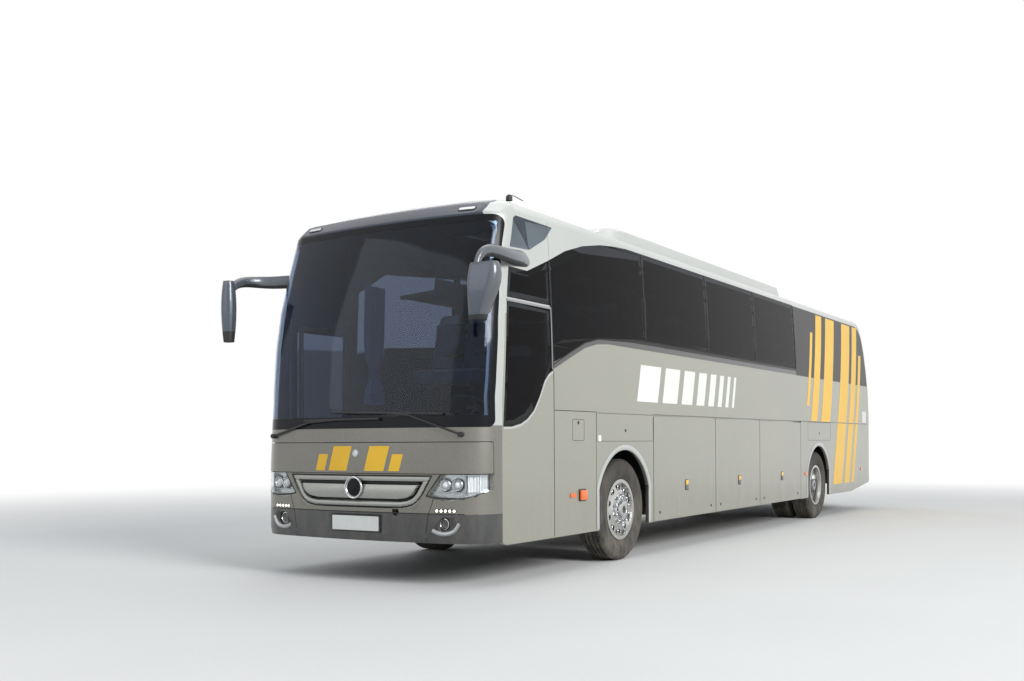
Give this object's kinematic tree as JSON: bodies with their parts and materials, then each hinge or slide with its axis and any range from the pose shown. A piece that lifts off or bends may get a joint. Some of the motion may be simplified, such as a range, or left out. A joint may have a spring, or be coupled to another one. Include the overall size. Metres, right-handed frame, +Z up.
{
  "type": "two-axle touring coach",
  "caption": "Long two-axle touring coach with a raked one-piece windscreen, flush side glass, luggage flaps, roof cooling unit and steering, rolling wheels.",
  "frame": {"origin": "on the ground, at the middle of the coach's length and width", "axes": "+Z up; the coach faces -Y; its driver's side is +X"},
  "size_m": [3.1244, 13.0678, 3.62],
  "materials": {
    "grey_paint": "warm metallic grey, glossy",
    "silver_paint": "light silver, glossy",
    "dark_glass": "dark tinted",
    "clear_glass": "lightly tinted",
    "lamp_lens": "clear lens",
    "red_lens": "red lens",
    "amber_lens": "amber lens",
    "black_plastic": "moulded, satin",
    "silver_plastic": "silver moulding",
    "floor_covering": "ribbed sheet",
    "frame_steel": "black chassis paint",
    "engine_iron": "plain block",
    "rack_trim": "pale trim",
    "seat_fabric": "blue woven cloth",
    "tyre_rubber": "black rubber",
    "wheel_alloy": "brushed alloy"
  },
  "bodies": {
    "body": {"air_conditioner": "silver_paint", "cabin_floor": "floor_covering", "dashboard": "black_plastic", "driver_seat": "seat_fabric", "engine": "engine_iron", "front_axle": "frame_steel", "front_bumper": "grey_paint", "grille": "silver_plastic", "headlamps": "lamp_lens", "lower_panels_left": "grey_paint", "lower_panels_right": "grey_paint", "luggage_hold": "frame_steel", "luggage_racks": "rack_trim", "mirrors": "black_plastic", "rear_axle": "frame_steel", "rear_bumper": "grey_paint", "rear_wall": "grey_paint", "rear_window": "dark_glass", "roof_shell": "silver_paint", "seats_left": "seat_fabric", "seats_right": "seat_fabric", "side_glass_left": "dark_glass", "side_glass_right": "dark_glass", "side_lamps": "amber_lens", "side_wall_left": "grey_paint", "side_wall_right": "grey_paint", "steering_wheel": "black_plastic", "tail_lamps": "red_lens", "underframe": "frame_steel", "wheel_tubs": "black_plastic", "windscreen": "clear_glass", "windscreen_surround": "silver_paint", "wipers": "black_plastic"},
    "knuckle_left": {"knuckle_left": "frame_steel"},
    "wheel_front_left": {"tyre_front_left": "tyre_rubber", "rim_front_left": "wheel_alloy"},
    "wheel_rear_left": {"tyre_rear_left": "tyre_rubber", "rim_rear_left": "wheel_alloy"},
    "knuckle_right": {"knuckle_right": "frame_steel"},
    "wheel_front_right": {"tyre_front_right": "tyre_rubber", "rim_front_right": "wheel_alloy"},
    "wheel_rear_right": {"tyre_rear_right": "tyre_rubber", "rim_rear_right": "wheel_alloy"},
    "flap_left_1": {"flap_left_1": "grey_paint"},
    "flap_left_2": {"flap_left_2": "grey_paint"},
    "flap_left_3": {"flap_left_3": "grey_paint"},
    "flap_right_1": {"flap_right_1": "grey_paint"},
    "flap_right_2": {"flap_right_2": "grey_paint"},
    "engine_lid": {"engine_lid": "grey_paint"},
    "service_lid": {"service_lid": "grey_paint"},
    "service_lid_arms": {"service_lid_arms": "frame_steel"},
    "roof_hatch_front": {"roof_hatch_front": "silver_paint"},
    "roof_hatch_rear": {"roof_hatch_rear": "silver_paint"},
    "front_door_arms": {"front_door_arms": "frame_steel"},
    "front_door": {"front_door": "grey_paint", "front_door_glass": "dark_glass"},
    "mid_door_arms": {"mid_door_arms": "frame_steel"},
    "mid_door": {"mid_door": "grey_paint", "mid_door_glass": "dark_glass"}
  },
  "joints": [
    {"name": "steer_left", "type": "hinge", "parent": "body", "child": "knuckle_left", "pos_m": [0.93, -3.745, 0.52], "axis": [0, 0, 1], "range_deg": [-45, 45]},
    {"name": "steer_right", "type": "hinge", "parent": "body", "child": "knuckle_right", "pos_m": [-0.93, -3.745, 0.52], "axis": [0, 0, 1], "range_deg": [-45, 45]},
    {"name": "roll_front_left", "type": "hinge", "parent": "knuckle_left", "child": "wheel_front_left", "pos_m": [1.107, -3.745, 0.52], "axis": [1, 0, 0], "continuous": true},
    {"name": "roll_rear_left", "type": "hinge", "parent": "body", "child": "wheel_rear_left", "pos_m": [0.937, 3.165, 0.52], "axis": [1, 0, 0], "continuous": true},
    {"name": "roll_front_right", "type": "hinge", "parent": "knuckle_right", "child": "wheel_front_right", "pos_m": [-1.107, -3.745, 0.52], "axis": [1, 0, 0], "continuous": true},
    {"name": "roll_rear_right", "type": "hinge", "parent": "body", "child": "wheel_rear_right", "pos_m": [-0.937, 3.165, 0.52], "axis": [1, 0, 0], "continuous": true},
    {"name": "open_flap_left_1", "type": "hinge", "parent": "body", "child": "flap_left_1", "pos_m": [1.262, -2.13, 1.505], "axis": [0, -1, 0], "range_deg": [0, 85]},
    {"name": "open_flap_left_2", "type": "hinge", "parent": "body", "child": "flap_left_2", "pos_m": [1.262, -0.41, 1.505], "axis": [0, -1, 0], "range_deg": [0, 85]},
    {"name": "open_flap_left_3", "type": "hinge", "parent": "body", "child": "flap_left_3", "pos_m": [1.262, 1.315, 1.505], "axis": [0, -1, 0], "range_deg": [0, 85]},
    {"name": "open_flap_right_1", "type": "hinge", "parent": "body", "child": "flap_right_1", "pos_m": [-1.262, -2.13, 1.505], "axis": [0, 1, 0], "range_deg": [0, 85]},
    {"name": "open_flap_right_2", "type": "hinge", "parent": "body", "child": "flap_right_2", "pos_m": [-1.262, -0.41, 1.505], "axis": [0, 1, 0], "range_deg": [0, 85]},
    {"name": "open_engine_lid", "type": "hinge", "parent": "body", "child": "engine_lid", "pos_m": [0, 6.477, 1.7], "axis": [1, 0, 0], "range_deg": [0, 80]},
    {"name": "swing_lid_arms", "type": "hinge", "parent": "body", "child": "service_lid_arms", "pos_m": [0, -6.29, 1.29], "axis": [-1, 0, 0], "range_deg": [0, 60]},
    {"name": "keep_lid_level", "type": "hinge", "parent": "service_lid_arms", "child": "service_lid", "pos_m": [0, -6.2423, 1.04459], "axis": [1, 0, 0], "range_deg": [0, 60]},
    {"name": "lift_hatch_front", "type": "hinge", "parent": "body", "child": "roof_hatch_front", "pos_m": [0, -4.621, 3.445], "axis": [1, 0, 0], "range_deg": [0, 60]},
    {"name": "lift_hatch_rear", "type": "hinge", "parent": "body", "child": "roof_hatch_rear", "pos_m": [0, 3.629, 3.445], "axis": [1, 0, 0], "range_deg": [0, 60]},
    {"name": "swing_front_door_arms", "type": "hinge", "parent": "body", "child": "front_door_arms", "pos_m": [-1.14, -5.93, 1.5], "axis": [0, 0, 1], "range_deg": [0, 90]},
    {"name": "keep_front_door_parallel", "type": "hinge", "parent": "front_door_arms", "child": "front_door", "pos_m": [-1.14, -5.56, 1.5], "axis": [0, 0, -1], "range_deg": [0, 90]},
    {"name": "swing_mid_door_arms", "type": "hinge", "parent": "body", "child": "mid_door_arms", "pos_m": [-1.14, 1.405, 1.5], "axis": [0, 0, 1], "range_deg": [0, 90]},
    {"name": "keep_mid_door_parallel", "type": "hinge", "parent": "mid_door_arms", "child": "mid_door", "pos_m": [-1.14, 1.775, 1.5], "axis": [0, 0, -1], "range_deg": [0, 90]}
  ],
  "couplings": [
    {"joint": "steer_right", "follows": "steer_left", "ratio": 1},
    {"joint": "keep_lid_level", "follows": "swing_lid_arms", "ratio": 1},
    {"joint": "keep_front_door_parallel", "follows": "swing_front_door_arms", "ratio": 1},
    {"joint": "keep_mid_door_parallel", "follows": "swing_mid_door_arms", "ratio": 1}
  ]
}
